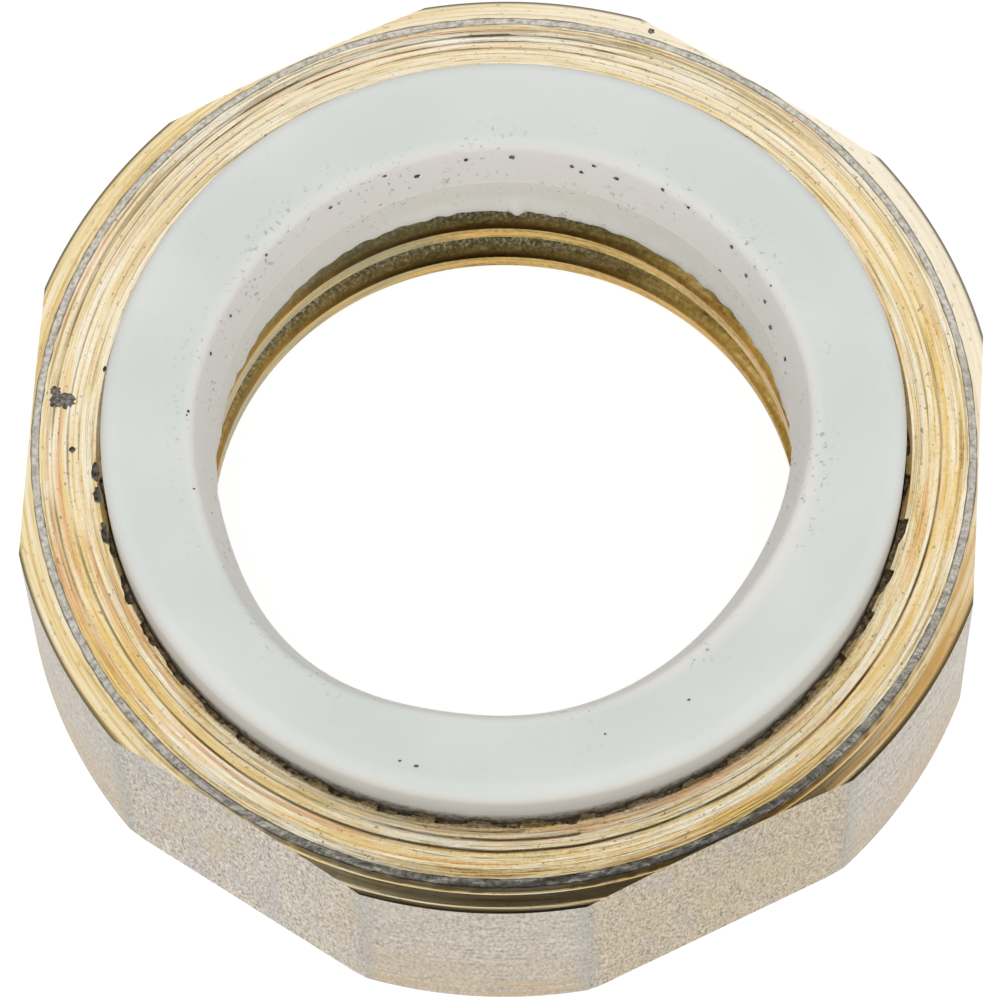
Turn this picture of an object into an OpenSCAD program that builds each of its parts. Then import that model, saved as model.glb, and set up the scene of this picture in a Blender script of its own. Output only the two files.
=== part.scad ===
// Pipe seal nut: a plated steel hexagon nut for a straight pipe thread, with a
// plastic seal ring held in a serrated recess in its top face.
// Millimetres, +Z up. The origin is the centre of the underside, on the thread's
// axis, and a flat of the hexagon faces +X.

/* [Hexagon] */
// Width across the flats
across_flats = 19.05; // [16:0.05:24]
// How far the turned corners stand out past the flats
corner_rise = 0.44; // [0.2:0.01:0.8]
// Height of the nut from its underside to the face
nut_h = 5.4; // [4.4:0.1:9]
// Edge break round the underside
under_break = 0.1; // [0.02:0.01:0.3]

/* [Top face] */
// Width of the chamfer on the turned corners
chamfer_w = 0.465; // [0.25:0.005:0.8]
// Slope of that chamfer from the face's plane
chamfer_slope = 21; // [10:1:35]
// Width of the narrow rough band between the chamfer and the face
band_w = 0.18; // [0.05:0.01:0.3]
// Drop of that band from the face
band_drop = 0.04; // [0.01:0.01:0.1]

/* [Thread bore] */
// Wall between the thread's crests and the flats
wall = 3.475; // [3.1:0.025:5]
// Width of the countersink in the underside
countersink_w = 0.9; // [0.3:0.05:1.4]
// Depth of the countersink
countersink_depth = 0.65; // [0.2:0.05:1.2]

/* [Seal recess] */
// Width of the recess's floor, from the bore to the tips of the serrations
seat_w = 2.03; // [1.5:0.01:2.4]
// Depth of the recess below the face
recess_depth = 1.3; // [0.8:0.05:2]
// Clearance between the seal ring and the tips of the serrations
seal_clearance = 0.03; // [0:0.01:0.15]
// Number of serrations that keep the seal ring from turning
serration_count = 48; // [24:2:60]
// Depth of the grooves between the serrations
serration_depth = 0.18; // [0.08:0.01:0.3]
// Share of each pitch that is groove, at the tips
groove_share = 0.68; // [0.4:0.02:0.8]
// Share of each pitch that is groove, at the root
groove_root_share = 0.4; // [0.2:0.02:0.4]
// Width of the broken edge at the recess's mouth
mouth_break = 0.11; // [0.02:0.01:0.2]

/* [Seal ring] */
// How far the seal ring's bore stands inside the thread's crests
seal_overhang = 0.225; // [0.05:0.005:0.6]
// Height of the straight bore above the seal ring's underside
seal_land = 1.07; // [0.5:0.01:1.6]
// Height of the steep lead-in above the straight bore
lead_in_h = 0.95; // [0.5:0.01:1.3]
// Width of the lead-in, measured across the radius
lead_in_w = 0.38; // [0.1:0.01:0.6]
// Radius of the soft edge where the lead-in meets the top
lead_in_r = 0.3; // [0.05:0.01:0.4]
// Rise of the top from the lead-in to the outer edge
crown_h = 0.33; // [0.1:0.01:0.6]
// Radius of the top outer edge
seal_edge_r = 0.22; // [0.05:0.01:0.4]
// Chamfer of the bottom outer edge
seal_foot = 0.15; // [0.05:0.01:0.3]

/* [Hidden] */
turn_fn = 144;
arc_fn = 72;
// How far a cutting tool runs past the surface it leaves
overrun = 1;

corner_r = across_flats / 2 + corner_rise;
band_r = corner_r - chamfer_w;
face_r = band_r - band_w;
band_z = nut_h - band_drop;
chamfer_z = band_z - chamfer_w * tan(chamfer_slope);
bore_r = across_flats / 2 - wall;
countersink_r = bore_r + countersink_w;

recess_z = nut_h - recess_depth;
tip_r = bore_r + seat_w;
root_r = tip_r + serration_depth;
serration_pitch = 360 / serration_count;

seal_r = tip_r - seal_clearance;
seal_bore_r = bore_r - seal_overhang;
lead_in_bottom = [seal_bore_r, recess_z + seal_land];
lead_in_top = lead_in_bottom + [lead_in_w, lead_in_h];
seal_corner = [seal_r, lead_in_top.y + crown_h];
seal_side = [seal_r, recess_z + seal_foot];

// Point on a circle about the axis
function on_circle(r, a) = [r * cos(a), r * sin(a)];

// Unit vector from one point towards another
function towards(from, to) = (to - from) / norm(to - from);

// Half of the angle between the two edges that meet at a corner
function half_angle(a, corner, b) =
    acos(towards(corner, a) * towards(corner, b)) / 2;

// Cutter that leaves an arc of radius r on the corner between a and b: the kite
// from the arc's centre over both tangent points, drawn twice as large, less the circle
module rounded_tip(a, corner, b, r) {
    half = half_angle(a, corner, b);
    reach = r / tan(half);
    to_a = towards(corner, a) * reach;
    to_b = towards(corner, b) * reach;
    inwards = (to_a + to_b) / norm(to_a + to_b) * r / sin(half);
    translate(corner + inwards)
        difference() {
            polygon([
                [0, 0],
                2 * (to_a - inwards),
                -2 * inwards,
                2 * (to_b - inwards)
            ]);
            circle(r = r, $fn = arc_fn);
        }
}

// The six flats, from the bar that the nut is cut from
module hexagon_bar() {
    rotate([0, 0, 30])
        cylinder(d = across_flats / cos(30), h = nut_h, $fn = 6);
}

// All that the lathe leaves outside: turned corners, chamfer, band and face
module turned_outside() {
    rotate_extrude($fn = turn_fn)
        polygon([
            [0, 0],
            [corner_r - under_break, 0],
            [corner_r, under_break],
            [corner_r, chamfer_z],
            [band_r, band_z],
            [face_r, nut_h],
            [0, nut_h]
        ]);
}

// Bore at the thread's crests, with its countersink
module thread_bore() {
    translate([0, 0, -overrun])
        cylinder(r = bore_r, h = nut_h + 2 * overrun, $fn = turn_fn);
    cylinder(r1 = countersink_r, r2 = bore_r, h = countersink_depth, $fn = turn_fn);
}

// One groove of the recess wall: wide at the tips, narrower at its root. The flanks
// run on inwards past the tips
module serration_groove() {
    tip_half = serration_pitch * groove_share / 2;
    root_half = serration_pitch * groove_root_share / 2;
    tip = on_circle(tip_r, tip_half);
    root = on_circle(root_r, root_half);
    inside = tip + towards(root, tip) * serration_depth / 2;
    translate([0, 0, recess_z])
        linear_extrude(height = recess_depth + overrun)
            polygon([
                inside,
                root,
                [root.x, -root.y],
                [inside.x, -inside.y]
            ]);
}

// Flat-bottomed recess that takes the seal ring
module seal_recess() {
    translate([0, 0, recess_z])
        cylinder(r = tip_r, h = recess_depth + overrun, $fn = turn_fn);
    translate([0, 0, nut_h - mouth_break])
        cylinder(r1 = tip_r, r2 = tip_r + mouth_break, h = mouth_break, $fn = turn_fn);
    for (i = [0 : serration_count - 1])
        rotate([0, 0, (i + 0.5) * serration_pitch])
            serration_groove();
}

module nut_body() {
    color("#D9C08A")
        difference() {
            intersection() {
                hexagon_bar();
                turned_outside();
            }
            thread_bore();
            seal_recess();
        }
}

// Section of the seal ring: a straight bore, a steep lead-in, and a top that
// rises gently from there to a rounded outer edge
module seal_section() {
    difference() {
        polygon([
            [seal_bore_r, recess_z],
            lead_in_bottom,
            lead_in_top,
            seal_corner,
            seal_side,
            [seal_r - seal_foot, recess_z]
        ]);
        rounded_tip(lead_in_bottom, lead_in_top, seal_corner, lead_in_r);
        rounded_tip(lead_in_top, seal_corner, seal_side, seal_edge_r);
    }
}

module seal_ring() {
    color("#E4E6E2")
        rotate_extrude($fn = turn_fn)
            seal_section();
}

nut_body();
seal_ring();
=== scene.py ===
import functools
import math
import random

import bmesh
import bpy
from mathutils import Matrix, Vector, noise


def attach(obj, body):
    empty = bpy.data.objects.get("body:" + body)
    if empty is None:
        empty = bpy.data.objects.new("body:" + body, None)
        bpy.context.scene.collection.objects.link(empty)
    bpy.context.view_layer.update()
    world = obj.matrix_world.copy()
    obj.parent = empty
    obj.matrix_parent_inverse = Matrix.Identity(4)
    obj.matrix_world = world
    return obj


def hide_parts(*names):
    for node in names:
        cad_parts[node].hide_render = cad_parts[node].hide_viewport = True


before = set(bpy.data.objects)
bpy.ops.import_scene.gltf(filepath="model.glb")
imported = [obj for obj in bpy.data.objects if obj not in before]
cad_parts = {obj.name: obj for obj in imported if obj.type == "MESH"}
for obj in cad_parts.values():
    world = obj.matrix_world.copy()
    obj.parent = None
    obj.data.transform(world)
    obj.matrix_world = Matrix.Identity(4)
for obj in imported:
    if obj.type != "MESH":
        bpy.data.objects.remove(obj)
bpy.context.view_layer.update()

# Pipe seal nut: a yellow zinc plated steel nut with a white plastic seal ring.
# Pieces are modelled in millimetres and brought down to metres once, at the end.
metresPerMm = 0.001


camera = {
    "lens": 241.25,             # on a 36 mm wide sensor
    "distance": 139.41,         # mm, to the centre of the nut's underside
    "azimuth": -84.724,         # degrees about the thread's axis
    "elevation": 67.209,
    "roll": 1.8774,
    "slide": (-0.113, 0.899),   # mm to the camera's right and up
}


def addCamera():
    azimuth = math.radians(camera["azimuth"])
    elevation = math.radians(camera["elevation"])
    roll = math.radians(camera["roll"])
    outwards = Vector((
        math.cos(elevation) * math.cos(azimuth),
        math.cos(elevation) * math.sin(azimuth),
        math.sin(elevation)))
    right = Vector((-math.sin(azimuth), math.cos(azimuth), 0))
    up = outwards.cross(right)
    place = (outwards * camera["distance"]
             + right * camera["slide"][0] + up * camera["slide"][1])
    imageRight = right * math.cos(roll) - up * math.sin(roll)
    imageUp = up * math.cos(roll) + right * math.sin(roll)
    turn = Matrix((imageRight, imageUp, outwards)).transposed()
    data = bpy.data.cameras.new("camera")
    data.lens = camera["lens"]
    data.sensor_width = 36
    data.clip_start = 0.005
    data.clip_end = 10
    eye = bpy.data.objects.new("camera", data)
    eye.matrix_world = Matrix.Translation(place * metresPerMm) @ turn.to_4x4()
    bpy.context.scene.collection.objects.link(eye)
    bpy.context.scene.camera = eye


addCamera()
print("camera placed")


def linearColour(code):
    values = []
    for start in (0, 2, 4):
        channel = int(code[start:start + 2], 16) / 255
        if channel <= 0.04045:
            values.append(channel / 12.92)
        else:
            values.append(((channel + 0.055) / 1.055) ** 2.4)
    return (*values, 1.0)


def addNode(tree, kind, inputs=None, output=0, **settings):
    # inputs: values, hex colours and sockets, by place or by name. Gives one output of
    # the node, or all of them for None
    node = tree.nodes.new("ShaderNode" + kind)
    if kind == "Mix":           # always of colours, with inputs 0, 6 and 7
        node.data_type, output = "RGBA", 2
    for name, value in settings.items():
        if name == "stops":     # a colour ramp's places and colours
            ramp = node.color_ramp
            while len(ramp.elements) < len(value):
                ramp.elements.new(1.0)
            for element, (place, code) in zip(ramp.elements, value):
                element.position = place
                element.color = linearColour(code)
        else:
            setattr(node, name, value)
    if isinstance(inputs, tuple):
        inputs = dict(enumerate(inputs))
    for name, value in (inputs or {}).items():
        if isinstance(value, bpy.types.NodeSocket):
            tree.links.new(value, node.inputs[name])
        else:
            node.inputs[name].default_value = (
                linearColour(value) if isinstance(value, str) else value)
    return node.outputs if output is None else node.outputs[output]


def newMaterial(name):
    # the material, and what adds a node to it
    material = bpy.data.materials.new(name)
    material.use_nodes = True
    material.node_tree.nodes.clear()
    return material, functools.partial(addNode, material.node_tree)


def turnedCoordinates(add):
    # the place in millimetres, so that a noise's Scale counts features per millimetre,
    # and from it the distance from the axis, the direction round it and the height
    place = add("TexCoord", None, "Object")
    inMm = add("VectorMath", {0: place, "Scale": 1 / metresPerMm}, operation="SCALE")
    flat = add("VectorMath", (inMm, (1, 1, 0)), operation="MULTIPLY")
    radius = add("VectorMath", (flat,), 1, operation="LENGTH")
    direction = add("VectorMath", (flat,), operation="NORMALIZE")
    height = add("SeparateXYZ", (inMm,), "Z")
    return inMm, radius, direction, height


def facing(add, direction, azimuth):
    # 1 on the side at this azimuth, and down to -1 on the other side
    side = math.radians(azimuth)
    return add("VectorMath", (direction, (math.cos(side), math.sin(side), 0)), 1,
               operation="DOT_PRODUCT")


def streakNoise(add, direction, across, alongScale, acrossScale, detail=3, seed=0.0):
    # Noise drawn out along the tool's path. alongScale: features per radian round the
    # axis. acrossScale: features per millimetre across the cut.
    base = add("VectorMath", {0: direction, "Scale": alongScale}, operation="SCALE")
    step = add("Math", (across, acrossScale, seed), operation="MULTIPLY_ADD")
    lift = add("CombineXYZ", {"Z": step})
    spot = add("VectorMath", (base, lift), operation="ADD")
    return add("TexNoise", {"Vector": spot, "Scale": 1.0, "Detail": float(detail),
                            "Roughness": 0.6}, noise_dimensions="3D")


def finishMaterial(add, values, height=None, depth=0.01, strength=1.0):
    # depth: real height of the relief in millimetres
    if height is not None:
        values["Normal"] = add("Bump", {
            "Height": height, "Distance": depth * metresPerMm, "Strength": strength})
    shader = add("BsdfPrincipled", values)
    add("OutputMaterial", {"Surface": shader}, None)


def toObject(body, name):
    mesh = bpy.data.meshes.new(name)
    body.to_mesh(mesh)
    body.free()
    piece = bpy.data.objects.new(name, mesh)
    bpy.context.scene.collection.objects.link(piece)
    return piece


studio = {
    "floorSize": 2000.0,        # mm
    "floorColour": "F2F2F0",
    "floorGlow": 1.1,
    "shadowShare": 0.14,        # how much of the floor's look is its shaded colour
    "fillStrength": 0.62,       # light from all round, seen by the matt surfaces
    "softboxPower": 0.85,       # watts
    "softboxSize": 400.0,
    "softboxPlace": (20.0, -190.0, 400.0),
    "cardZenith": 30.0,         # degrees from straight up, towards the camera
    "cardAzimuth": -72.0,
    "cardDistance": 320.0,
    "cardSize": (440.0, 430.0),
    "cardColour": "2A2B28",
}


def seenByCamera(add):
    # 1 for what the camera sees straight, mirrored in the metal or through something
    path = add("LightPath", None, None)
    seen = add("Math", (path["Is Camera Ray"], path["Is Glossy Ray"]), operation="MAXIMUM")
    return add("Math", (seen, path["Is Transmission Ray"]), operation="MAXIMUM")


def addFloor():
    material, add = newMaterial("white studio floor")
    share = add("Math", (seenByCamera(add), 1 - studio["shadowShare"]), operation="MULTIPLY")
    matt = add("BsdfDiffuse", {"Color": studio["floorColour"]})
    glow = add("Emission", {"Color": (1, 1, 1, 1), "Strength": studio["floorGlow"]})
    shader = add("MixShader", (share, matt, glow))
    add("OutputMaterial", {"Surface": shader}, None)
    sheet = bmesh.new()
    bmesh.ops.create_grid(sheet, x_segments=1, y_segments=1,
                          size=studio["floorSize"] / 2 * metresPerMm)
    floor = toObject(sheet, "floor")
    floor.data.materials.append(material)


def addWorld():
    world = bpy.data.worlds.new("studio")
    world.use_nodes = True
    world.node_tree.nodes.clear()
    add = functools.partial(addNode, world.node_tree)
    strength = add("MapRange", (seenByCamera(add), 0, 1, studio["fillStrength"], 1.0))
    back = add("Background", {"Color": (1, 1, 1, 1), "Strength": strength})
    add("OutputWorld", {"Surface": back}, None)
    bpy.context.scene.world = world


def addSoftbox():
    data = bpy.data.lights.new("softbox", "AREA")
    data.shape = "SQUARE"
    data.size = studio["softboxSize"] * metresPerMm
    data.energy = studio["softboxPower"]
    lamp = bpy.data.objects.new("softbox", data)
    place = Vector(studio["softboxPlace"]) * metresPerMm
    lamp.matrix_world = (Matrix.Translation(place)
                         @ place.to_track_quat("Z", "Y").to_matrix().to_4x4())
    lamp.visible_glossy = False     # the metal mirrors the white studio instead
    bpy.context.scene.collection.objects.link(lamp)


def addDarkCard():
    # The unlit side of the studio, which the metal reflects in its grooves
    material, add = newMaterial("black card")
    matt = add("BsdfDiffuse", {"Color": studio["cardColour"]})
    add("OutputMaterial", {"Surface": matt}, None)
    sheet = bmesh.new()
    bmesh.ops.create_grid(sheet, x_segments=1, y_segments=1, size=0.5)
    azimuth = math.radians(studio["cardAzimuth"])
    zenith = math.radians(studio["cardZenith"])
    towards = Vector((math.sin(zenith) * math.cos(azimuth),
                      math.sin(zenith) * math.sin(azimuth), math.cos(zenith)))
    wide, high = studio["cardSize"]
    stretch = Matrix.Diagonal((wide * metresPerMm, high * metresPerMm, 1, 1))
    turn = towards.to_track_quat("Z", "Y").to_matrix().to_4x4()
    shift = Matrix.Translation(towards * studio["cardDistance"] * metresPerMm)
    bmesh.ops.transform(sheet, matrix=shift @ turn @ stretch, verts=sheet.verts)
    card = toObject(sheet, "darkCard")
    card.data.materials.append(material)
    card.visible_camera = False
    card.visible_diffuse = False
    card.visible_shadow = False


addFloor()
addWorld()
addSoftbox()
addDarkCard()
print("studio ready")


def spinProfile(points, steps):
    # a closed section (r, z) taken once round the thread's axis
    body = bmesh.new()
    corners = [body.verts.new((r, 0, z)) for r, z in points]
    edges = [body.edges.new((corners[i], corners[(i + 1) % len(corners)]))
             for i in range(len(corners))]
    bmesh.ops.spin(body, geom=corners + edges, cent=(0, 0, 0), axis=(0, 0, 1),
                   dvec=(0, 0, 0), angle=2 * math.pi, steps=steps, use_merge=True)
    bmesh.ops.remove_doubles(body, verts=body.verts, dist=1e-5)
    bmesh.ops.recalc_face_normals(body, faces=body.faces)
    return body


def placeAt(radius, azimuth, height):
    angle = math.radians(azimuth)
    return radius * math.cos(angle), radius * math.sin(angle), height


def azimuthOf(place):
    return math.degrees(math.atan2(place.y, place.x))


def radiusOf(place):
    return math.hypot(place.x, place.y)


def angleBetween(first, second):
    return abs((first - second + 180) % 360 - 180)


def cutAway(piece, cutter, crossing=False):
    # crossing: the cutter's own shells may run into each other
    cut = piece.modifiers.new("cut", "BOOLEAN")
    cut.operation = "DIFFERENCE"
    cut.solver = "EXACT"
    cut.use_self = crossing
    cut.object = cutter
    cut.material_mode = "TRANSFER"
    graph = bpy.context.evaluated_depsgraph_get()
    mesh = bpy.data.meshes.new_from_object(piece.evaluated_get(graph))
    piece.modifiers.clear()
    old = piece.data
    piece.data = mesh
    bpy.data.meshes.remove(old)
    bpy.data.objects.remove(cutter)


def toFinalMesh(body, piece, smoothBelow):
    # soft shading below this angle in degrees, and millimetres to metres
    for edge in body.edges:
        if len(edge.link_faces) == 2:
            edge.smooth = edge.calc_face_angle(0) < math.radians(smoothBelow)
    for face in body.faces:
        face.smooth = True
    bmesh.ops.scale(body, vec=(metresPerMm,) * 3, verts=body.verts)
    body.to_mesh(piece.data)
    body.free()
    triangles = sum(len(p.vertices) - 2 for p in piece.data.polygons)
    print(piece.name, "has", triangles, "triangles")


nut = {
    "acrossFlats": 19.05,
    "cornerRadius": 9.965,
    "height": 5.4,
    "bottomBreak": 0.1,
    "chamferFoot": 5.1815,      # height where the chamfer meets the corners
    "chamferMiddle": 5.28,
    "bandRadius": 9.5,
    "bandHeight": 5.36,
    "faceRadius": 9.32,
    "mouthRadius": 8.19,
    "recessRadius": 8.08,
    "recessFloor": 4.1,
    "boreRadius": 6.05,
    "countersinkRadius": 6.95,
    "countersinkDepth": 0.65,
    "turnSteps": 720,
    # tool marks in the face: radius, half width and depth in mm, the azimuth where
    # the mark is deepest, and the share of its depth that is left on the other side
    "toolMarks": [
        (8.36, 0.030, 0.014, 30, 0.6),
        (8.52, 0.035, 0.016, -60, 0.3),
        (8.75, 0.040, 0.030, -75, 0.25),
        (8.93, 0.030, 0.012, 120, 0.4),
        (9.07, 0.045, 0.020, 150, 0.4),
        (9.19, 0.025, 0.012, -20, 0.4),
    ],
    # the same in the chamfer, all round: radius, half width and depth
    "chamferMarks": [(9.60, 0.022, 0.011), (9.845, 0.035, 0.014)],
    "bandRoughness": 0.010,     # mm, height of the band's bumps
    "uprightBevel": 0.05,       # mm, between the flats and the turned corners
    "paintedSheenSide": 112.0,          # azimuth of the side painted paler, as a painted sheen
    "paintedSheenChamfer": 48.0,        # the same on the chamfer
    "goldSide": -42.0,          # azimuth where the chamfer's plating is thickest
    "warmSide": -55.0,          # azimuth of the flats with the yellower plating
}

thread = {
    "pitch": 1.4111,            # mm, 18 turns to the inch
    "rootRadius": 6.87,
    "crestFlat": 0.405,
    "crestHeight": 2.3,         # height of a crest at the azimuth below
    "crestAzimuth": 95.3,
    "rootHalf": 0.07,           # half the width of the groove's root
    "turns": 5,                 # of the cutter, from below the nut to above it
    "stepsPerTurn": 180,
    "cleanSide": 42.0,          # azimuth of the side with little dirt in the roots
    "olive": 140.0,             # azimuth where the crests are worn to grey-olive
    "lipShadowSide": 106.0,           # azimuth where shadow is painted under the seal's lip
}

serrations = {
    "count": 48,
    "tipRadius": 8.08,
    "rootRadius": 8.25,
    "width": 5.2,               # degrees
    "rootWidth": 4.5,
    "spread": 0.45,             # how uneven they are
    "openTo": -80.0,            # azimuth where the grooves show most
    "shut": 0.17,               # mm that the roots lose on the other side
    "shutFrom": 66,             # degrees from the open side where that starts
    "shutOver": 26,             # degrees that it takes
    "darkMouthWithin": 70,            # degrees from the open side within which the mouth is dark, as dirt with painted shade
    "least": 0.025,             # mm, the least depth of a groove
    "dirtTop": 5.12,            # height to which dirt fills the grooves
    "seed": 11,
}

# chips in the plating: azimuth, radius, length along and across the turn, depth in mm
chips = [
    (177.6, 8.92, 0.36, 0.54, 0.04),
    (176.4, 9.10, 0.22, 0.22, 0.04),
    (184.6, 8.66, 0.14, 0.14, 0.04),
    (172.2, 8.21, 0.14, 0.07, 0.04),
    (188.0, 8.20, 0.42, 0.18, 0.08),
    (191.6, 8.20, 0.36, 0.17, 0.08),
    (197.4, 8.20, 0.50, 0.16, 0.08),
    (75.3, 9.68, 0.14, 0.24, 0.04),
]


def nutProfile():
    outer = [(nut["cornerRadius"] - nut["bottomBreak"], 0),
             (nut["cornerRadius"], nut["bottomBreak"]),
             (nut["cornerRadius"], nut["chamferFoot"])]

    def onChamfer(radius):
        share = (nut["cornerRadius"] - radius) / (nut["cornerRadius"] - nut["bandRadius"])
        return nut["chamferFoot"] + share * (nut["bandHeight"] - nut["chamferFoot"])

    for radius, half, depth in sorted(nut["chamferMarks"], reverse=True):
        outer += [(radius + half, onChamfer(radius + half)),
                  (radius, onChamfer(radius) - depth),
                  (radius - half, onChamfer(radius - half))]
    outer += [(nut["bandRadius"], nut["bandHeight"])]
    rows = 4
    for row in range(1, rows):
        share = row / rows
        outer.append((nut["bandRadius"] + (nut["faceRadius"] - nut["bandRadius"]) * share,
                      nut["bandHeight"] + (nut["height"] - nut["bandHeight"]) * share))
    outer += [(nut["faceRadius"], nut["height"])]
    for radius, half, *_ in sorted(nut["toolMarks"], reverse=True):
        outer += [(radius + half, nut["height"]), (radius, nut["height"]),
                  (radius - half, nut["height"])]
    mouthDrop = nut["mouthRadius"] - nut["recessRadius"]
    outer += [(nut["mouthRadius"], nut["height"]),
              (nut["recessRadius"], nut["height"] - mouthDrop),
              (nut["recessRadius"], nut["recessFloor"]),
              (nut["boreRadius"], nut["recessFloor"]),
              (nut["boreRadius"], nut["countersinkDepth"]),
              (nut["countersinkRadius"], 0)]
    return outer


def roughenFace(body):
    marks = {round(mark[0], 4): mark for mark in nut["toolMarks"]}
    for corner in body.verts:
        radius = radiusOf(corner.co)
        azimuth = azimuthOf(corner.co)
        height = corner.co.z
        mark = marks.get(round(radius, 4))
        if mark and height > nut["bandHeight"]:
            middle, _, depth, deepest, least = mark
            fade = 0.5 + 0.5 * math.cos(math.radians(azimuth - deepest))
            wander = noise.noise(Vector((corner.co.x, corner.co.y, middle * 9)) * 0.7)
            corner.co.z -= depth * (least + (1 - least) * fade) * (0.9 + 0.8 * wander)
        inBand = nut["faceRadius"] - 0.01 < radius < nut["bandRadius"] + 0.01
        if inBand and height > nut["chamferFoot"]:
            spot = Vector((corner.co.x * 5, corner.co.y * 5, radius * 11))
            corner.co.z += nut["bandRoughness"] * (noise.noise(spot) - 0.35)
            spread = 1 + 0.0022 * noise.noise(spot * 0.6 + Vector((40, 3, 7)))
            corner.co.x *= spread
            corner.co.y *= spread


def cutFlats(body):
    for i in range(6):
        angle = math.radians(60 * i)
        outwards = Vector((math.cos(angle), math.sin(angle), 0))
        cut = bmesh.ops.bisect_plane(
            body, geom=body.verts[:] + body.edges[:] + body.faces[:], dist=1e-5,
            plane_co=outwards * nut["acrossFlats"] / 2, plane_no=outwards,
            clear_outer=True)
        rim = [g for g in cut["geom_cut"] if isinstance(g, bmesh.types.BMEdge)]
        bmesh.ops.holes_fill(body, edges=rim, sides=0)


def bevelUprights(body):
    # the upright edges where flats and corners meet
    uprights = []
    for edge in body.edges:
        a, b = (v.co for v in edge.verts)
        if abs(a.x - b.x) < 1e-4 and abs(a.y - b.y) < 1e-4 and abs(a.z - b.z) > 1:
            if radiusOf(a) > nut["bandRadius"]:
                faces = edge.link_faces
                if len(faces) == 2 and faces[0].normal.angle(faces[1].normal) > 0.15:
                    uprights.append(edge)
    bmesh.ops.bevel(body, geom=uprights, offset=nut["uprightBevel"], offset_type="OFFSET",
                    segments=3, profile=0.5, affect="EDGES", material=-1, clamp_overlap=True)
    print("bevelled", len(uprights), "upright edges")


def threadCutter(cutter):
    # one section of the tap swept up the helix
    half = (thread["pitch"] - thread["crestFlat"]) / 2
    rootHalf = thread["rootHalf"]
    bore = nut["boreRadius"]
    root = thread["rootRadius"]
    section = [(bore - 0.4, -half - 0.02), (bore, -half), (root - 0.08, -rootHalf - 0.03),
               (root, -rootHalf * 0.4), (root, rootHalf * 0.4),
               (root - 0.08, rootHalf + 0.03), (bore, half), (bore - 0.4, half + 0.02)]
    grooveHeight = thread["crestHeight"] - thread["pitch"] * 2.5
    corners = [cutter.verts.new(placeAt(r, thread["crestAzimuth"], grooveHeight + z))
               for r, z in section]
    face = cutter.faces.new(corners)
    bmesh.ops.spin(cutter, geom=[face], cent=(0, 0, 0), axis=(0, 0, 1),
                   dvec=(0, 0, thread["pitch"] / thread["stepsPerTurn"]),
                   angle=2 * math.pi * thread["turns"],
                   steps=thread["stepsPerTurn"] * thread["turns"])


def serrationCutters(cutter):
    draw = random.Random(serrations["seed"])
    pitch = 360 / serrations["count"]
    for i in range(serrations["count"]):
        middle = (i + 0.5) * pitch + draw.uniform(-1, 1) * serrations["spread"]
        half = serrations["width"] / 2 + draw.uniform(-1, 1) * serrations["spread"]
        rootHalf = serrations["rootWidth"] / 2 * draw.uniform(0.8, 1.08)
        lean = draw.uniform(-0.15, 0.15)
        away = angleBetween(middle, serrations["openTo"])
        shut = serrations["shut"] * min(
            max((away - serrations["shutFrom"]) / serrations["shutOver"], 0), 1)
        root = serrations["rootRadius"] + draw.uniform(-0.03, 0.03) - shut
        tip = serrations["tipRadius"]
        top = nut["height"] + 0.5
        bottom = serrations["dirtTop"] + draw.uniform(-0.06, 0.06)
        slant = draw.uniform(-0.05, 0.05)
        shallow = tip + serrations["least"]
        outline = [(tip - 0.12, -half - 0.3), (tip, -half),
                   (max(root - 0.02 - slant, shallow), lean - rootHalf)]
        for share in (-0.6, -0.2, 0.2, 0.6):
            depth = root + slant * share + draw.uniform(-0.025, 0.015)
            outline.append((max(depth, shallow), lean + rootHalf * share))
        outline += [(max(root - 0.02 + slant, shallow), lean + rootHalf), (tip, half),
                    (tip - 0.12, half + 0.3)]
        face = cutter.faces.new([cutter.verts.new(placeAt(radius, middle + offset, bottom))
                                 for radius, offset in outline])
        raised = bmesh.ops.extrude_face_region(cutter, geom=[face], use_keep_orig=True)
        upper = [g for g in raised["geom"] if isinstance(g, bmesh.types.BMVert)]
        bmesh.ops.translate(cutter, vec=(0, 0, top - bottom), verts=upper)


def chipCutters(cutter):
    for number, (azimuth, radius, along, across, depth) in enumerate(chips):
        lump = bmesh.ops.create_icosphere(cutter, subdivisions=3, radius=1.0)["verts"]
        for corner in lump:
            rough = 1 + 0.45 * noise.noise(corner.co * 2.3 + Vector((number * 7.1, 3, 9)))
            corner.co *= rough
        bmesh.ops.scale(cutter, vec=(across / 2, along / 2, depth), verts=lump)
        turn = Matrix.Rotation(math.radians(azimuth), 3, "Z")
        bmesh.ops.rotate(cutter, cent=(0, 0, 0), matrix=turn, verts=lump)
        top = nut["height"] if radius < nut["faceRadius"] else nut["chamferMiddle"]
        bmesh.ops.translate(cutter, vec=placeAt(radius, azimuth, top), verts=lump)


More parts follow.
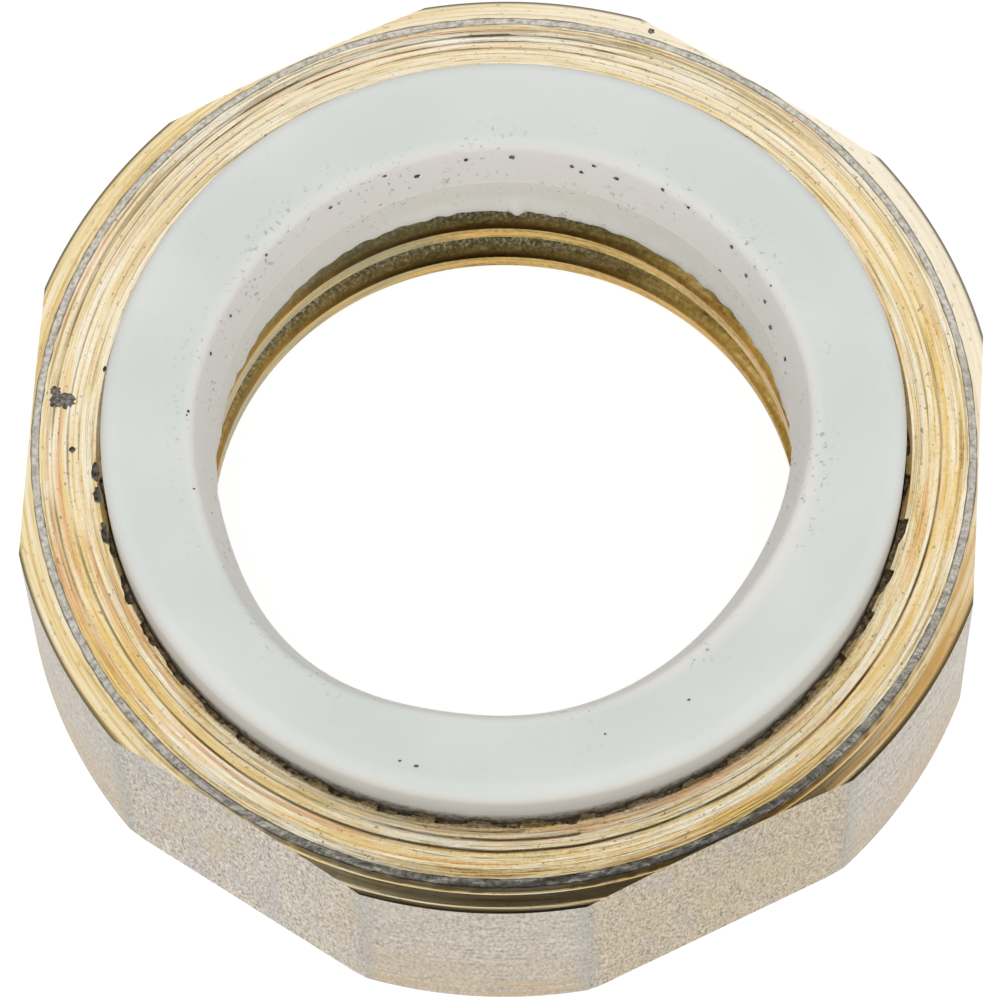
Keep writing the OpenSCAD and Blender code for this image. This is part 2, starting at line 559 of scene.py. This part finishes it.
def finishOf(face):
    # which of the finishes a face of the nut body gets, from where it lies, with a
    # few thousandths of a millimetre for what the rough faces move
    middle = face.calc_center_median()
    radius, height, up = radiusOf(middle), middle.z, face.normal.z
    if radius < nut["boreRadius"] + 1.2 and height < nut["recessFloor"] - 0.005:
        return "underside" if height < 0.003 else "tappedThread"
    if radius < nut["mouthRadius"] and height < nut["height"] - 0.002:
        away = angleBetween(azimuthOf(middle), serrations["openTo"])
        # near the open side the mouth takes the recess's dark brown: dirt with painted shade
        goldMouth = away > serrations["darkMouthWithin"]
        mouth = up > 0.3 and height > nut["height"] - 0.2
        return "turnedFace" if mouth and goldMouth else "recessWall"
    if height < 0.004:
        return "underside"
    if up > 0.5 and radius > nut["bandRadius"] - 0.005:
        return "turnedChamfer"
    if up > 0.3 and radius > nut["faceRadius"] - 0.004:
        return "roughBand"
    if up > 0.3:
        return "turnedFace"
    azimuth = math.degrees(math.atan2(face.normal.y, face.normal.x))
    fromFlat = abs((azimuth + 30) % 60 - 30)
    return "drawnFlats" if fromFlat < 2 and abs(face.normal.z) < 0.1 else "turnedCorners"


def buildNut():
    body = spinProfile(nutProfile(), nut["turnSteps"])
    roughenFace(body)
    cutFlats(body)
    bevelUprights(body)
    bmesh.ops.recalc_face_normals(body, faces=body.faces)
    places = {finish: place for place, finish in enumerate(metalFinishes)}
    for face in body.faces:
        face.material_index = places[finishOf(face)]
    piece = toObject(body, "nutBody")
    for material in metalFinishes.values():
        piece.data.materials.append(material)
    for makeCutters, finish in ((threadCutter, "tappedThread"),
                                (serrationCutters, "recessWall"), (chipCutters, "chip")):
        cutter = bmesh.new()
        makeCutters(cutter)
        bmesh.ops.recalc_face_normals(cutter, faces=cutter.faces)
        tools = toObject(cutter, "cutter")
        tools.data.materials.append(metalFinishes[finish])
        cutAway(piece, tools, crossing=finish == "chip")
        print(finish, "cut")

    body = bmesh.new()
    body.from_mesh(piece.data)
    bmesh.ops.remove_doubles(body, verts=body.verts, dist=1e-4)
    bmesh.ops.dissolve_degenerate(body, edges=body.edges, dist=1e-4)
    bmesh.ops.triangulate(body, faces=[f for f in body.faces if len(f.verts) > 4])
    toFinalMesh(body, piece, 22)
    shade = piece.modifiers.new("shade", "WEIGHTED_NORMAL")
    shade.keep_sharp = True
    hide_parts("nut_body")
    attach(piece, "root")


# Yellow zinc plating is a thin passivated coat on turned steel: pale gold where the
# light is even, with pink and orange streaks along the cut, brown where dirt stays in
# the grooves, and grey where the zinc itself shows.
def turnedFaceMaterial():
    material, add = newMaterial("yellow zinc plated steel, turned face")
    inMm, radius, direction, height = turnedCoordinates(add)
    coarse = streakNoise(add, direction, radius, 1.6, 4.2, 4, 1.7)
    fine = streakNoise(add, direction, radius, 4.5, 14.0, 4, 40.0)
    hair = streakNoise(add, direction, radius, 14.0, 34.0, 3, 90.0)
    crumb = add("TexNoise", {"Vector": inMm, "Scale": 13.0, "Detail": 3.0, "Roughness": 0.65})
    tone = add("Math", (fine, 0.5, add("Math", (coarse, 0.45), operation="MULTIPLY")),
               operation="MULTIPLY_ADD")
    tone = add("Math", (hair, 0.35, tone), operation="MULTIPLY_ADD")
    tone = add("Math", (crumb, 0.3, add("Math", (tone, 0.3), operation="SUBTRACT")),
               operation="MULTIPLY_ADD")
    base = add("ValToRGB", {"Fac": tone},
               stops=[(0.32, "C59E5A"), (0.39, "F2D08C"), (0.45, "FDE4AC"), (0.51, "FFEEC6"),
                      (0.57, "FFF6DE"), (0.66, "FFFAEC")])
    orange = streakNoise(add, direction, radius, 1.8, 7.0, 4, 7.0)
    orange = add("MapRange", (orange, 0.53, 0.64, 0.0, 0.7))
    base = add("Mix", {0: orange, 6: base, 7: "F2B274"})
    yellow = streakNoise(add, direction, radius, 2.0, 5.0, 4, 19.0)
    yellow = add("MapRange", (yellow, 0.51, 0.62, 0.0, 0.7))
    base = add("Mix", {0: yellow, 6: base, 7: "F3CF78"})
    # painted sheen: paler towards the far side
    towards = facing(add, direction, nut["paintedSheenSide"])
    base = add("Mix",
               {0: add("MapRange", (towards, -0.3, 1.0, 0.0, 0.4)), 6: base, 7: "FCF4E0"})
    # lines that run a long way round, where the tool's grooves hold dirt
    wander = add("TexNoise", {"Vector": direction, "Scale": 1.1, "Detail": 2.0})
    across = add("Math", (radius, 8.0, add("Math", (wander, 1.6), operation="MULTIPLY")),
                 operation="MULTIPLY_ADD")
    rings = add("TexNoise", {"W": across, "Scale": 1.0, "Detail": 1.0}, noise_dimensions="1D")
    fromLine = add("Math", (add("Math", (rings, 0.5), operation="SUBTRACT"),),
                   operation="ABSOLUTE")
    line = add("MapRange", (fromLine, 0.0, 0.035, 1.0, 0.0))
    broken = add("MapRange", (fine, 0.38, 0.60, 1.0, 0.1))
    line = add("Math", (line, broken), operation="MULTIPLY")
    base = add("Mix", {0: add("Math", (line, 0.6), operation="MULTIPLY"), 6: base, 7: "8A6E3A"})
    # the deep tool marks are darker olive
    sunk = add("MapRange", (height, nut["height"] - 0.005, nut["height"] - 0.020, 0.0, 0.75))
    sunk = add("Math", (sunk, add("MapRange", (radius, 8.24, 8.3, 0.0, 1.0))),
               operation="MULTIPLY")
    base = add("Mix", {0: sunk, 6: base, 7: "6E5B33"})
    specks = streakNoise(add, direction, radius, 60.0, 14.0, 3, 63.0)
    speckShare = add("MapRange", (specks, 0.64, 0.69, 0.0, 0.7))
    base = add("Mix", {0: speckShare, 6: base, 7: "86704A"})
    # dirt with painted shade over the tips of the serrations, where the gap is widest
    openSide = facing(add, direction, serrations["openTo"])
    ragged = add("Math", (crumb, 0.16, radius), operation="MULTIPLY_ADD")
    rim = add("Math", (add("MapRange", (ragged, 8.37, 8.31, 0.0, 0.78)),
                       add("MapRange", (openSide, 0.35, 0.75, 0.0, 1.0))), operation="MULTIPLY")
    base = add("Mix", {0: rim, 6: base, 7: "6A573D"})
    rough = add("MapRange", (fine, 0.3, 0.7, 0.40, 0.26))
    relief = add("Math", (hair, 0.5, fine), operation="MULTIPLY_ADD")
    relief = add("Math", (line, -0.5, relief), operation="MULTIPLY_ADD")
    finishMaterial(add, {"Base Color": base, "Metallic": 1.0, "Roughness": rough},
                   relief, 0.024, 0.6)
    return material


# The tool's nose tore this narrow band, and little yellow took to it: a dull grey with
# a crumbly grain, and painted shade along its edges.
def roughBandMaterial():
    material, add = newMaterial("zinc plated steel, rough cut band")
    inMm, radius, direction, _ = turnedCoordinates(add)
    grain = add("TexNoise", {"Vector": inMm, "Scale": 10.0, "Detail": 3.0, "Roughness": 0.6})
    streak = streakNoise(add, direction, radius, 14.0, 9.0, 3, 12.0)
    base = add("ValToRGB", {"Fac": grain},
               stops=[(0.32, "98948A"), (0.44, "BFBAAE"), (0.55, "D3CDC0"), (0.68, "E2DCCF")])
    base = add("Mix", {0: add("MapRange", (streak, 0.5, 0.62, 0.0, 0.5)), 6: base, 7: "A39D92"})
    # painted shade along both edges of the band
    middle = (nut["faceRadius"] + nut["bandRadius"]) / 2
    off = add("Math", (add("Math", (radius, middle), operation="SUBTRACT"),),
              operation="ABSOLUTE")
    edge = add("MapRange", (off, 0.055, 0.08, 0.0, 0.75))
    base = add("Mix", {0: edge, 6: base, 7: "5A574C"})
    finishMaterial(add, {"Base Color": base, "Metallic": 1.0, "Roughness": 0.3},
                   grain, 0.02, 0.5)
    return material


# The same plating on the finer cut of the chamfer: smooth gold, deeper towards one side
# and, as a painted sheen, nearly white towards the other, with a dark line at the outer edge.
def turnedChamferMaterial():
    material, add = newMaterial("yellow zinc plated steel, turned chamfer")
    _, radius, direction, _ = turnedCoordinates(add)
    fine = streakNoise(add, direction, radius, 3.0, 13.0, 3, 5.0)
    base = add("ValToRGB", {"Fac": fine},
               stops=[(0.30, "C4A568"), (0.42, "E6C98C"), (0.55, "F3DFB0"), (0.70, "F8EFDA")])
    # painted sheen: nearly white towards one side
    towards = facing(add, direction, nut["paintedSheenChamfer"])
    base = add("Mix", {0: add("MapRange", (towards, 0.3, 1.0, 0.0, 0.7)), 6: base, 7: "FFF9EA"})
    towards = facing(add, direction, nut["goldSide"])
    gold = add("Math", (add("MapRange", (towards, 0.75, 0.95, 0.0, 1.0)),
                        add("MapRange", (fine, 0.38, 0.6, 1.0, 0.35))), operation="MULTIPLY")
    base = add("Mix", {0: gold, 6: base, 7: "CFA566"})
    specks = streakNoise(add, direction, radius, 40.0, 12.0, 3, 27.0)
    base = add("Mix",
               {0: add("MapRange", (specks, 0.60, 0.68, 0.0, 0.5)), 6: base, 7: "A08F68"})
    rim = add("MapRange", (radius, 9.88, 9.93, 0.0, 0.85))
    base = add("Mix", {0: rim, 6: base, 7: "57523F"})
    finishMaterial(add, {"Base Color": base, "Metallic": 1.0, "Roughness": 0.3},
                   fine, 0.02, 0.5)
    return material


def junctionTint(add, inMm, base):
    # painted reflection: the drawn bar's edge, bluish, beside each turned corner
    parts = add("SeparateXYZ", (inMm,), None)
    turn = add("Math", (parts["Y"], parts["X"]), operation="ARCTAN2")
    fromFlat = add("Math", (turn, math.radians(30)), operation="PINGPONG")
    junction = math.acos(nut["acrossFlats"] / 2 / nut["cornerRadius"])
    away = add("Math", (add("Math", (fromFlat, junction), operation="SUBTRACT"),),
               operation="ABSOLUTE")
    share = add("MapRange", (away, math.radians(0.3), math.radians(1.9), 0.34, 0.0))
    return add("Mix", {0: share, 6: base, 7: "A7AAA9"})


# Cold drawn bar under thin zinc: a matt, grainy warm grey with little mirror in it.
def drawnFlatsMaterial():
    material, add = newMaterial("zinc plated steel, cold drawn flats")
    inMm, _, direction, _ = turnedCoordinates(add)
    # the drawing die leaves grains that are longer along the bar
    tall = add("VectorMath", (inMm, (1.0, 1.0, 0.42)), operation="MULTIPLY")
    grain = add("TexNoise", {"Vector": tall, "Scale": 17.0, "Detail": 3.0, "Roughness": 0.6})
    patches = add("TexNoise", {"Vector": tall, "Scale": 1.3, "Detail": 4.0})
    base = add("ValToRGB", {"Fac": grain},
               stops=[(0.32, "989083"), (0.44, "C3BAAC"), (0.54, "D6CDBF"), (0.68, "E9E2D6")])
    towards = facing(add, direction, nut["warmSide"])
    base = add("Mix", {0: add("MapRange", (towards, 0.5, 1.0, 0.0, 0.8)), 6: base, 7: "F6EDD8"},
               blend_type="MULTIPLY")
    base = add("Mix",
               {0: add("MapRange", (patches, 0.5, 0.66, 0.0, 0.4)), 6: base, 7: "CDBD9C"})
    base = add("Mix",
               {0: add("MapRange", (patches, 0.47, 0.36, 0.0, 0.35)), 6: base, 7: "B9B3B4"})
    base = junctionTint(add, inMm, base)
    finishMaterial(add, {"Base Color": base, "Metallic": 1.0,
                         "Roughness": add("MapRange", (grain, 0.3, 0.7, 0.55, 0.42))},
                   grain, 0.015, 0.35)
    return material


# The corners are turned across the drawn bar: the same grey with level tool lines.
def turnedCornersMaterial():
    material, add = newMaterial("zinc plated steel, turned corners")
    inMm, _, direction, height = turnedCoordinates(add)
    lines = streakNoise(add, direction, height, 7.0, 9.0, 4, 3.0)
    tall = add("VectorMath", (inMm, (1.0, 1.0, 0.42)), operation="MULTIPLY")
    grain = add("TexNoise", {"Vector": tall, "Scale": 16.0, "Detail": 3.0})
    mixed = add("Math", (grain, 0.65, add("Math", (lines, 0.35), operation="MULTIPLY")),
                operation="MULTIPLY_ADD")
    base = add("ValToRGB", {"Fac": mixed},
               stops=[(0.34, "9A9185"), (0.45, "BFB6A8"), (0.54, "D0C6B8"), (0.66, "E0D9CC")])
    # the lower part keeps more of the yellow, in streaks along the cut
    warm = streakNoise(add, direction, height, 3.0, 7.0, 3, 33.0)
    low = add("Math", (add("MapRange", (height, 3.0, 0.6, 0.0, 1.0)),
                       add("MapRange", (warm, 0.42, 0.6, 0.1, 0.7))), operation="MULTIPLY")
    base = add("Mix", {0: low, 6: base, 7: "C9AC7E"})
    base = junctionTint(add, inMm, base)
    finishMaterial(add, {"Base Color": base, "Metallic": 1.0, "Roughness": 0.45},
                   mixed, 0.02, 0.45)
    return material


# In the tapped thread the plating is brown gold and shiny on the crests, and oily dirt
# makes the roots dull and nearly black.
def tappedThreadMaterial():
    material, add = newMaterial("yellow zinc plated steel, tapped thread")
    inMm, radius, direction, height = turnedCoordinates(add)
    fine = streakNoise(add, direction, height, 4.0, 11.0, 4, 8.0)
    grain = add("TexNoise", {"Vector": inMm, "Scale": 8.0, "Detail": 3.0, "Roughness": 0.65})
    tone = add("Math", (fine, 0.6, add("Math", (grain, 0.4), operation="MULTIPLY")),
               operation="MULTIPLY_ADD")
    base = add("ValToRGB", {"Fac": tone},
               stops=[(0.36, "6E5727"), (0.45, "A0813A"), (0.54, "C2A052"), (0.66, "DFC684")])
    # grey-green dirt with bright grains in the root
    speckle = add("TexNoise", {"Vector": inMm, "Scale": 14.0, "Detail": 3.0, "Roughness": 0.6})
    deep = add("MapRange", (radius, 6.09, 6.35, 0.0, 0.85))
    dirt = add("ValToRGB", {"Fac": speckle},
               stops=[(0.38, "474A36"), (0.47, "6F6E52"), (0.55, "9A9674"), (0.63, "CBC6A8")])
    towards = facing(add, direction, thread["cleanSide"])
    deep = add("Math", (deep, add("MapRange", (towards, 0.75, 0.95, 1.0, 0.25))),
               operation="MULTIPLY")
    base = add("Mix", {0: deep, 6: base, 7: dirt})
    # painted shadow, black-green, under the lip of the seal, on one stretch
    under = facing(add, direction, thread["lipShadowSide"])
    underLipShadow = add("Math", (grain, 0.5, height), operation="MULTIPLY_ADD")
    underLipShadow = add("Math", (add("MapRange", (underLipShadow, 2.95, 3.3, 0.0, 0.85)),
                         add("MapRange", (under, 0.86, 0.95, 0.0, 1.0))), operation="MULTIPLY")
    base = add("Mix", {0: underLipShadow, 6: base, 7: "3A3E30"})
    # the crests: brown at both edges, grey-olive on the left, orange streaks elsewhere
    left = facing(add, direction, thread["olive"])
    crest = add("MapRange", (radius, 6.09, 6.14, 1.0, 0.0))
    upper = add("MapRange", (height, 2.5, 2.8, 0.0, 0.8))
    worn = add("Math", (crest, upper), operation="MAXIMUM")
    worn = add("Math", (worn, add("MapRange", (left, 0.78, 0.93, 0.0, 0.75))),
               operation="MULTIPLY")
    base = add("Mix", {0: worn, 6: base, 7: "A39C74"})
    orange = streakNoise(add, direction, height, 2.0, 6.0, 3, 52.0)
    orange = add("Math", (crest, add("MapRange", (orange, 0.48, 0.6, 0.0, 0.6))),
                 operation="MULTIPLY")
    base = add("Mix", {0: orange, 6: base, 7: "E8B654"})
    edge = add("Math", (add("MapRange", (radius, 6.055, 6.08, 0.0, 0.6)),
                        add("MapRange", (radius, 6.11, 6.17, 1.0, 0.0))), operation="MULTIPLY")
    base = add("Mix", {0: edge, 6: base, 7: "9A6B34"})
    # painted shadow, dark, under the seal's overhang
    top = add("Math", (grain, 0.5, height), operation="MULTIPLY_ADD")
    base = add("Mix", {0: add("MapRange", (top, 3.30, 3.62, 0.0, 0.92)), 6: base, 7: "34382A"})
    # the dirt in the roots and the painted shadow under the lip are matt, with no metal look
    metal = add("MapRange",
                (add("Math", (deep, underLipShadow), operation="MAXIMUM"), 0.0, 0.85, 1.0, 0.25))
    finishMaterial(add, {"Base Color": base, "Metallic": metal, "Roughness": 0.36},
                   tone, 0.03, 0.6)
    return material


# The broached wall shows only as a brown, crumbly shadow: dirt covers the zinc.
def recessWallMaterial():
    material, add = newMaterial("zinc plated steel, broached recess, dirty")
    inMm, *_ = turnedCoordinates(add)
    grain = add("TexNoise", {"Vector": inMm, "Scale": 9.0, "Detail": 4.0, "Roughness": 0.65})
    base = add("ValToRGB", {"Fac": grain},
               stops=[(0.38, "453B30"), (0.46, "6B5C47"), (0.53, "8C795A"), (0.62, "B09B72")])
    finishMaterial(add, {"Base Color": base, "Metallic": 0.25, "Roughness": 0.7},
                   grain, 0.04, 0.8)
    return material


# Parted off and plated: plain gold with even lines along the turn.
def undersideMaterial():
    material, add = newMaterial("yellow zinc plated steel, parted underside")
    _, radius, direction, _ = turnedCoordinates(add)
    fine = streakNoise(add, direction, radius, 3.0, 9.0, 4, 21.0)
    base = add("ValToRGB", {"Fac": fine},
               stops=[(0.30, "A78850"), (0.45, "D8BC82"), (0.60, "EAD7A8")])
    finishMaterial(add, {"Base Color": base, "Metallic": 1.0, "Roughness": 0.35},
                   fine, 0.02, 0.5)
    return material


# Where the plating broke away the steel is dark grey, coarse and without shine.
def chipMaterial():
    material, add = newMaterial("bare steel under chipped plating")
    inMm, *_ = turnedCoordinates(add)
    grain = add("TexNoise", {"Vector": inMm, "Scale": 9.0, "Detail": 3.0})
    base = add("ValToRGB", {"Fac": grain},
               stops=[(0.35, "5C5755"), (0.5, "837D77"), (0.65, "ABA598")])
    finishMaterial(add, {"Base Color": base, "Metallic": 0.8, "Roughness": 0.6},
                   grain, 0.03, 0.6)
    return material


metalFinishes = {
    "turnedFace": turnedFaceMaterial(),
    "roughBand": roughBandMaterial(),
    "turnedChamfer": turnedChamferMaterial(),
    "drawnFlats": drawnFlatsMaterial(),
    "turnedCorners": turnedCornersMaterial(),
    "tappedThread": tappedThreadMaterial(),
    "recessWall": recessWallMaterial(),
    "underside": undersideMaterial(),
    "chip": chipMaterial(),
}
print("metal finishes made")
buildNut()


seal = {
    "outerRadius": 8.05,
    "boreRadius": 5.825,
    "bottom": 4.1,
    "foot": 0.15,
    "landTop": 5.17,
    "leadInTop": (6.205, 6.12),
    "top": 6.45,
    "edgeRadius": 0.3,
    "leadInRadius": 0.3,
    "turnSteps": 540,
    "waviness": 0.03,           # mm, of the bore
    "trueFrom": 7.4,            # radius from which the ring is round
    "trueOver": 1.1,            # mm inside that radius over which it goes out of round
    "lipTop": 4.45,             # height up to which the lower lip is torn
    "lipHeight": 0.35,
    # where the bore is out of round: azimuth, half width in degrees, mm outwards
    "bulges": [(-128.0, 36.0, 0.22), (-32.0, 48.0, -0.18)],
    "lipTear": 0.05,            # mm
    "lipPress": (85.0, 0.10),   # azimuth where the lower lip stands inwards most, mm
    "lipSag": (50.0, 0.18),     # azimuth where it hangs lowest, mm
    "burr": (91.0, 1.3, 0.09),  # on the lower lip: azimuth, half width, size in mm
    "seed": 5,
}

# pinholes in the plastic: azimuth, radius and height on the ring, and radius in mm
pinholes = [
    (110.5, 6.02, 5.64, 0.05), (100.7, 6.08, 5.81, 0.05), (91.9, 6.09, 5.82, 0.055),
    (80.3, 6.06, 5.76, 0.04), (78.3, 6.03, 5.67, 0.04), (76.1, 6.12, 5.91, 0.04),
    (71.3, 6.07, 5.78, 0.045), (116.7, 6.12, 5.92, 0.04), (128.7, 6.09, 5.83, 0.04),
    (144.7, 6.15, 5.98, 0.035), (167.3, 6.12, 5.90, 0.045), (158.3, 6.08, 5.80, 0.04),
    (-179.7, 6.30, 6.14, 0.04), (-178.9, 6.33, 6.15, 0.03), (61.9, 6.16, 6.02, 0.04),
    (55.9, 6.15, 5.98, 0.035), (44.5, 6.12, 5.92, 0.045), (44.7, 5.83, 5.15, 0.04),
    (38.9, 6.02, 5.66, 0.05), (33.3, 6.19, 6.08, 0.035), (32.5, 6.02, 5.66, 0.05),
    (28.1, 5.91, 5.39, 0.06), (20.7, 5.92, 5.41, 0.05), (-54.9, 6.95, 6.25, 0.03),
    (-69.7, 6.92, 6.25, 0.025), (-99.5, 7.51, 6.35, 0.035), (-102.1, 7.48, 6.35, 0.03),
    (-98.7, 7.89, 6.42, 0.03), (-151.7, 5.94, 5.47, 0.04), (-160.5, 6.03, 5.68, 0.03),
    (-164.3, 6.28, 6.13, 0.03), (-46.7, 6.28, 6.13, 0.03), (-25.3, 6.06, 5.76, 0.03),
    (-116.3, 6.41, 6.16, 0.03),
]


def sealProfile():
    # counted from the lower edge of the bore up over the top and down outside
    inner = Vector(seal["leadInTop"])
    base = Vector((seal["boreRadius"], seal["landTop"]))
    corner = Vector((seal["outerRadius"], seal["top"]))

    def arc(before, tip, after, radius, count):
        toFirst, toLast = (before - tip).normalized(), (after - tip).normalized()
        half = toFirst.angle(toLast) / 2
        middle = tip + (toFirst + toLast).normalized() * radius / math.sin(half)
        start = tip + toFirst * radius / math.tan(half) - middle
        end = tip + toLast * radius / math.tan(half) - middle
        sweep = start.angle_signed(end)
        points = []
        for i in range(count + 1):
            points.append(middle + Matrix.Rotation(-sweep * i / count, 2) @ start)
        return points

    points = [Vector((seal["boreRadius"], seal["bottom"]))]
    for i in range(1, 8):
        points.append(Vector((seal["boreRadius"],
                              seal["bottom"] + (base.y - seal["bottom"]) * i / 8)))
    points.append(base)
    for i in range(1, 8):
        points.append(base.lerp(inner, i / 8 * 0.82))
    points += arc(base, inner, corner, seal["leadInRadius"], 8)
    for i in range(1, 10):
        points.append(inner.lerp(corner, 0.1 + 0.78 * i / 10))
    outside = Vector((seal["outerRadius"], seal["bottom"]))
    points += arc(inner, corner, outside, seal["edgeRadius"], 8)
    points.append(Vector((seal["outerRadius"], nut["height"])))
    points.append(Vector((seal["outerRadius"], seal["bottom"] + seal["foot"])))
    points.append(Vector((seal["outerRadius"] - seal["foot"], seal["bottom"])))
    points.append(Vector((nut["boreRadius"] - 0.05, seal["bottom"])))
    return [tuple(p) for p in points]


# Moulded polyamide: milky, softly glossy, light goes in a little way.
def sealMaterial():
    material, add = newMaterial("moulded natural polyamide")
    inMm, radius, direction, height = turnedCoordinates(add)
    cloud = add("TexNoise", {"Vector": inMm, "Scale": 0.3, "Detail": 2.0})
    base = add("Mix",
               {0: add("MapRange", (cloud, 0.35, 0.65, 0.0, 1.0)), 6: "DADFDB", 7: "E1E4E0"})
    # painted light from the floor and through the plastic: the inside is lighter, a little
    # pink, lighter still further down
    inside = add("MapRange", (radius, 6.45, 6.12, 0.0, 0.9))
    base = add("Mix", {0: inside, 6: base, 7: "EEEAE5"})
    low = add("MapRange", (height, 5.25, 5.1, 0.0, 0.9))
    inner = add("Math", (low, add("MapRange", (radius, 6.2, 6.0, 0.0, 1.0))),
                operation="MULTIPLY")
    base = add("Mix", {0: inner, 6: base, 7: "F5F2E8"})
    # scuffs and specks in the lead-in
    specks = add("TexNoise", {"Vector": inMm, "Scale": 8.5, "Detail": 3.0, "Roughness": 0.6})
    patch = add("TexNoise", {"Vector": inMm, "Scale": 0.9, "Detail": 1.0})
    share = add("Math", (add("MapRange", (specks, 0.60, 0.68, 0.0, 0.65)),
                         add("MapRange", (patch, 0.42, 0.6, 0.0, 1.0))), operation="MULTIPLY")
    share = add("Math", (share, add("MapRange", (radius, 6.9, 6.3, 0.12, 1.0))),
                operation="MULTIPLY")
    base = add("Mix", {0: share, 6: base, 7: "9C9790"})
    # painted shade: the rounded outer edge is a little greyer
    wall = add("Math", (add("MapRange", (radius, 7.8, 8.0, 0.0, 1.0)),
                        add("MapRange", (height, 6.46, 6.2, 0.0, 1.0))), operation="MULTIPLY")
    base = add("Mix", {0: wall, 6: base, 7: "DDDBD5"})
    # dust with painted shade and a painted gold reflection, on the outside by the open part of
    # the recess
    towards = facing(add, direction, serrations["openTo"])
    outside = add("Math", (add("MapRange", (radius, 7.9, 8.0, 0.0, 1.0)),
                           add("MapRange", (height, 5.56, 5.36, 0.0, 1.0))),
                  operation="MULTIPLY")
    outside = add("Math", (outside, add("MapRange", (towards, -0.1, 0.4, 0.1, 1.0))),
                  operation="MULTIPLY")
    dustAndShade = add("Math", (outside, add("MapRange", (specks, 0.36, 0.6, 0.95, 0.35))),
               operation="MULTIPLY")
    base = add("Mix", {0: dustAndShade, 6: base, 7: "8A7858"})
    grain = add("TexNoise", {"Vector": inMm, "Scale": 5.0, "Detail": 4.0})
    rough = add("MapRange", (grain, 0.35, 0.65, 0.42, 0.52))
    finishMaterial(add, {"Base Color": base, "Metallic": 0.0, "Roughness": rough, "IOR": 1.53,
                         "Subsurface Weight": 0.5, "Subsurface Radius": (1.0, 0.95, 0.85),
                         "Subsurface Scale": 0.0005},
                   grain, 0.006, 0.5)
    return material


# Pores of the moulding hold dirt, so they show as dark brown dots.
def pinholeMaterial():
    material, add = newMaterial("dirt in a pinhole")
    inMm, *_ = turnedCoordinates(add)
    grain = add("TexNoise", {"Vector": inMm, "Scale": 12.0, "Detail": 2.0})
    base = add("ValToRGB", {"Fac": grain}, stops=[(0.4, "514B46"), (0.65, "968D85")])
    finishMaterial(add, {"Base Color": base, "Metallic": 0.0, "Roughness": 0.8})
    return material


def pressOutOfRound(ring):
    # the bore is uneven, and its lower lip was pressed into the thread and torn
    for corner in ring.verts:
        radius = radiusOf(corner.co)
        if radius > seal["trueFrom"]:
            continue
        degrees = azimuthOf(corner.co)
        azimuth = math.radians(degrees)
        out = Vector((math.cos(azimuth), math.sin(azimuth), 0))
        wave = noise.noise(Vector((out.x * 1.3, out.y * 1.3, corner.co.z * 0.4)))
        push = seal["waviness"] * wave
        for where, half, size in seal["bulges"]:
            share = min(angleBetween(degrees, where) / half, 1)
            push += size * math.cos(share * math.pi / 2) ** 2
        if corner.co.z < seal["lipTop"]:
            torn = noise.noise(Vector((out.x * 22, out.y * 22, corner.co.z * 2)))
            fade = (seal["lipTop"] - corner.co.z) / seal["lipHeight"]
            push += seal["lipTear"] * torn * fade
            where, half, size = seal["burr"]
            push -= size * fade * max(0, 1 - (angleBetween(degrees, where) / half) ** 2)
            if radius < seal["boreRadius"] + 0.01:
                where, size = seal["lipPress"]
                far = max(0, math.cos(math.radians(degrees - where)))
                push -= size * fade * far ** 2
                where, size = seal["lipSag"]
                sag = max(0, math.cos(math.radians(degrees - where)))
                corner.co.z -= size * fade * sag ** 3
        corner.co += out * push * min(1, (seal["trueFrom"] - radius) / seal["trueOver"])


def pinholeCutters(cutter):
    draw = random.Random(seal["seed"])
    for azimuth, radius, height, size in pinholes:
        hole = bmesh.ops.create_icosphere(cutter, subdivisions=2, radius=size)["verts"]
        lengthen = draw.uniform(0.9, 1.5)
        for corner in hole:
            corner.co *= draw.uniform(0.75, 1.25)
            corner.co.x *= lengthen
        bmesh.ops.translate(cutter, vec=placeAt(radius, azimuth, height), verts=hole)
    for face in cutter.faces:
        face.material_index = 1


def buildSeal():
    ring = spinProfile(sealProfile(), seal["turnSteps"])
    pressOutOfRound(ring)
    piece = toObject(ring, "sealRing")

    cutter = bmesh.new()
    pinholeCutters(cutter)
    tools = toObject(cutter, "cutter")
    finishes = [sealMaterial(), pinholeMaterial()]
    for holder in (piece, tools):
        for finish in finishes:
            holder.data.materials.append(finish)
    cutAway(piece, tools)

    ring = bmesh.new()
    ring.from_mesh(piece.data)
    bmesh.ops.remove_doubles(ring, verts=ring.verts, dist=1e-4)
    toFinalMesh(ring, piece, 18)
    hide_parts("seal_ring")
    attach(piece, "root")


buildSeal()

bpy.context.scene.view_settings.view_transform = "Standard"
bpy.context.view_layer.update()
